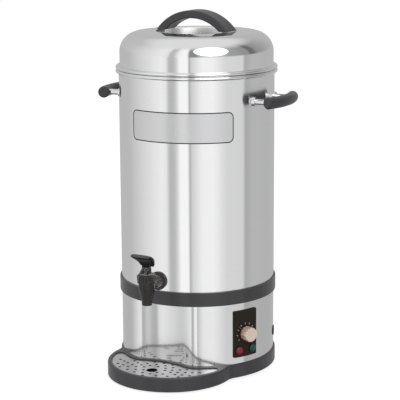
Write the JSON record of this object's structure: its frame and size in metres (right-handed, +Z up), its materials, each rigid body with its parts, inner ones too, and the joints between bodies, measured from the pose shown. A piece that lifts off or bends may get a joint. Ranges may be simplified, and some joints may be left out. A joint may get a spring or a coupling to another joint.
{
  "type": "mulled wine boiler",
  "caption": "Upright electric drinks boiler: steel pot and skirt on a lobed base with drip tray, lever tap, control panel, side grips and a lift-off lid.",
  "frame": {"origin": "middle of the bounding box on the floor, under the feet", "axes": "+Z up along the pot, -Y towards the tap and drip tray, +X towards the control panel side"},
  "size_m": [0.36, 0.3574, 0.6242],
  "materials": {
    "base_plastic": "fine moulded grain, satin",
    "band_plastic": "smooth satin",
    "grip_plastic": "fine moulded grain, satin",
    "foot_rubber": "matte",
    "satin_steel": "satin polished stainless steel",
    "polished_steel": "mirror polished stainless steel",
    "grid_steel": "brushed stainless sheet",
    "post_steel": "turned bright steel",
    "plated_steel": "zinc plated",
    "spreader_aluminium": "cast, machined faces",
    "element_steel": "heat-darkened sheath",
    "inner_plastic": "moulded",
    "capillary_copper": "drawn copper",
    "black_plastic": "satin moulded",
    "panel_film": "dark brown printed panel, semi-gloss",
    "red_lens": "clear tinted lens",
    "green_lens": "clear tinted lens",
    "tap_plastic": "polished moulded",
    "seal_rubber": "matte silicone",
    "knob_metal": "champagne anodised, satin"
  },
  "bodies": {
    "root": {"base": "base_plastic", "bottom_plate": "plated_steel", "bottom_screws": "plated_steel", "feet": "foot_rubber", "skirt": "satin_steel", "trim_band": "band_plastic", "support_ring": "plated_steel", "recess_roof": "band_plastic", "tie_rods": "plated_steel", "tie_nuts": "plated_steel", "pot": "satin_steel", "pot_rim": "satin_steel", "heat_spreader": "spreader_aluminium", "heating_element": "element_steel", "element_clamp": "plated_steel", "clamp_nut": "plated_steel", "thermostat": "inner_plastic", "thermostat_nut": "plated_steel", "sensor_bulb": "capillary_copper", "cutout_switch": "black_plastic", "reset_bezel": "black_plastic", "terminal_block": "inner_plastic", "cable_gland": "black_plastic", "gland_nut": "black_plastic", "fascia": "panel_film", "lamp_bezels": "black_plastic", "red_lens": "red_lens", "green_lens": "green_lens", "lamp_bodies": "inner_plastic", "tap_body": "tap_plastic", "tap_outer_seal": "seal_rubber", "tap_inner_seal": "seal_rubber", "tap_nut": "tap_plastic", "tap_bonnet": "tap_plastic", "left_grip": "grip_plastic", "right_grip": "grip_plastic", "grip_posts": "post_steel", "grip_nuts": "post_steel"},
    "lid": {"lid_wall": "polished_steel", "lid_shell": "polished_steel", "lid_handle": "grip_plastic", "lid_brackets": "post_steel", "lid_rivets": "post_steel"},
    "drip_grid": {"drip_grid": "grid_steel"},
    "stem": {"valve_stem": "tap_plastic", "seat_cup": "seal_rubber", "lever_pin": "plated_steel"},
    "lever": {"tap_lever": "tap_plastic"},
    "knob": {"knob": "knob_metal", "thermostat_shaft": "plated_steel"},
    "reset": {"reset_button": "black_plastic"}
  },
  "joints": [
    {"name": "lid_lift", "type": "slide", "parent": "root", "child": "lid", "axis": [0, 0, 1], "range_m": [0, 0.12]},
    {"name": "drip_grid_lift", "type": "slide", "parent": "root", "child": "drip_grid", "axis": [0, 0, 1], "range_m": [0, 0.04]},
    {"name": "tap_stem_lift", "type": "slide", "parent": "root", "child": "stem", "axis": [0, 0, 1], "range_m": [0, 0.005], "stiffness_N_per_m": 40, "springref_m": -0.01},
    {"name": "tap_lever_tilt", "type": "hinge", "parent": "stem", "child": "lever", "pos_m": [0, -0.14725, 0.203], "axis": [1, 0, 0], "range_deg": [0, 47]},
    {"name": "knob_turn", "type": "hinge", "parent": "root", "child": "knob", "pos_m": [0.1276, -0.02786, 0.0788], "axis": [0.9114, -0.4115, 0], "range_deg": [-105, 75]},
    {"name": "reset_press", "type": "slide", "parent": "root", "child": "reset", "axis": [-0.9272, -0.3746, 0], "range_m": [0, 0.0015], "stiffness_N_per_m": 800}
  ],
  "couplings": [
    {"joint": "tap_lever_tilt", "follows": "tap_stem_lift", "rad_per_m": 157.08}
  ]
}
